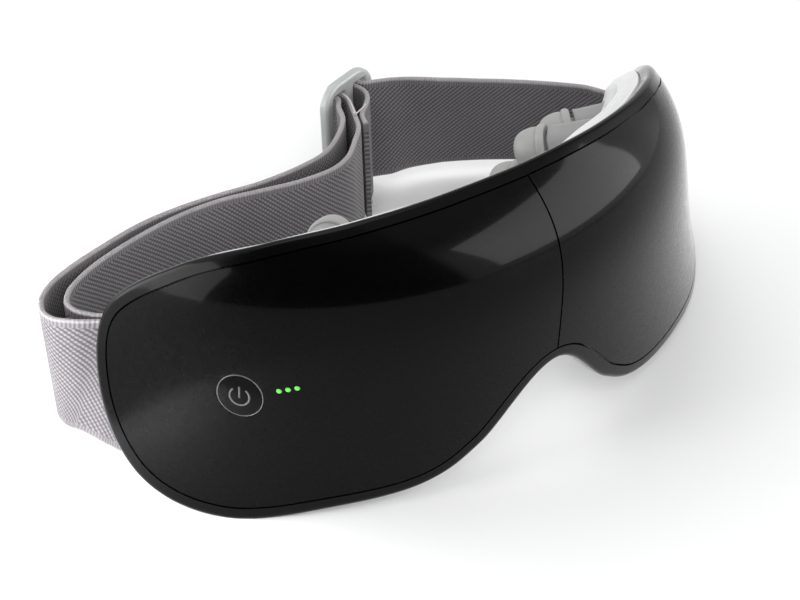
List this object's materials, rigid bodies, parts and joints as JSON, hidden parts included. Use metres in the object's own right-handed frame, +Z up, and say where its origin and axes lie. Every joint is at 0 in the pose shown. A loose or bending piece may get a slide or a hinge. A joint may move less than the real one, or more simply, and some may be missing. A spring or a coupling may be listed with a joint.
{
  "type": "eye massager goggles",
  "caption": "Curved glossy visor for massaging round the eyes, with a side power button, soft nubs inside and an adjustable elastic head strap.",
  "frame": {"origin": "middle of the footprint, on the surface that it stands on", "axes": "+Z up when worn, -Y the way the visor's front faces, +Y towards the wearer's face and the strap, X across the face with the power button on its -X side"},
  "size_m": [0.213, 0.1426, 0.0892],
  "materials": {
    "bezel": "glossy black, slightly softer than the panels",
    "panel": "piano-black gloss",
    "chassis": "satin black",
    "shell": "pale satin",
    "silicone": "soft matte light grey",
    "cushion": "soft matte pad skin over foam",
    "bellows": "thin soft tube wall",
    "webbing": "ribbed elastic webbing, grey with pale flecks",
    "buckle": "satin light grey",
    "steel": "plain steel",
    "board": "green solder resist",
    "foil": "battery pouch foil",
    "dark": "dark moulded plastic",
    "light": "light pipe, lit green",
    "film": "amber film"
  },
  "bodies": {
    "visor": {"front_bezel": "bezel", "left_front_panel": "panel", "right_front_panel": "panel", "inner_chassis": "chassis", "rear_housing": "shell", "button_switch": "dark", "control_board": "board", "battery": "foil", "pump_motor": "steel", "pump_head": "dark", "air_valve": "dark", "left_air_hose": "bellows", "right_air_hose": "bellows", "charging_port": "steel", "head_strap": "webbing", "strap_buckle": "buckle", "chassis_screw_1": "steel", "chassis_screw_2": "steel", "chassis_screw_3": "steel", "chassis_screw_4": "steel", "light_pipe_1": "light", "light_pipe_2": "light", "light_pipe_3": "light", "left_inner_brow_socket": "silicone", "left_inner_brow_bellows": "bellows", "left_outer_brow_socket": "silicone", "left_outer_brow_bellows": "bellows", "left_temple_socket": "silicone", "left_temple_bellows": "bellows", "left_speaker": "dark", "left_heating_film": "film", "left_eye_cushion": "cushion", "left_strap_bar": "steel", "right_inner_brow_socket": "silicone", "right_inner_brow_bellows": "bellows", "right_outer_brow_socket": "silicone", "right_outer_brow_bellows": "bellows", "right_temple_socket": "silicone", "right_temple_bellows": "bellows", "right_speaker": "dark", "right_heating_film": "film", "right_eye_cushion": "cushion", "right_strap_bar": "steel"},
    "button": {"power_button": "panel"},
    "crank": {"pump_crank": "steel"},
    "plunger": {"valve_plunger": "steel"},
    "left_inner_brow": {"left_inner_brow_nub": "silicone"},
    "left_outer_brow": {"left_outer_brow_nub": "silicone"},
    "left_temple": {"left_temple_nub": "silicone"},
    "right_inner_brow": {"right_inner_brow_nub": "silicone"},
    "right_outer_brow": {"right_outer_brow_nub": "silicone"},
    "right_temple": {"right_temple_nub": "silicone"}
  },
  "joints": [
    {"name": "button_press", "type": "slide", "parent": "visor", "child": "button", "axis": [0.7649, 0.6285, -0.141], "range_m": [0, 0.0004], "stiffness_N_per_m": 2000},
    {"name": "left_inner_brow_push", "type": "slide", "parent": "visor", "child": "left_inner_brow", "axis": [0.5239, 0.8059, -0.2756], "range_m": [0, 0.003], "stiffness_N_per_m": 200},
    {"name": "left_outer_brow_push", "type": "slide", "parent": "visor", "child": "left_outer_brow", "axis": [0.6529, 0.6952, -0.3007], "range_m": [0, 0.003], "stiffness_N_per_m": 200},
    {"name": "left_temple_push", "type": "slide", "parent": "visor", "child": "left_temple", "axis": [0.8402, 0.5063, -0.1942], "range_m": [0, 0.003], "stiffness_N_per_m": 200},
    {"name": "right_inner_brow_push", "type": "slide", "parent": "visor", "child": "right_inner_brow", "axis": [-0.5239, 0.8059, -0.2756], "range_m": [0, 0.003], "stiffness_N_per_m": 200},
    {"name": "right_outer_brow_push", "type": "slide", "parent": "visor", "child": "right_outer_brow", "axis": [-0.6529, 0.6952, -0.3007], "range_m": [0, 0.003], "stiffness_N_per_m": 200},
    {"name": "right_temple_push", "type": "slide", "parent": "visor", "child": "right_temple", "axis": [-0.8402, 0.5063, -0.1942], "range_m": [0, 0.003], "stiffness_N_per_m": 200},
    {"name": "crank_turn", "type": "hinge", "parent": "visor", "child": "crank", "pos_m": [-0.04636, -0.04718, 0.02238], "axis": [0.902, -0.4317, 0], "continuous": true},
    {"name": "plunger_stroke", "type": "slide", "parent": "visor", "child": "plunger", "axis": [-0.9685, 0.2489, 0], "range_m": [0, 0.001], "stiffness_N_per_m": 1000}
  ],
  "couplings": [
    {"joint": "left_outer_brow_push", "follows": "left_inner_brow_push", "ratio": 1},
    {"joint": "left_temple_push", "follows": "left_inner_brow_push", "ratio": 1},
    {"joint": "right_inner_brow_push", "follows": "left_inner_brow_push", "ratio": 1},
    {"joint": "right_outer_brow_push", "follows": "left_inner_brow_push", "ratio": 1},
    {"joint": "right_temple_push", "follows": "left_inner_brow_push", "ratio": 1}
  ]
}
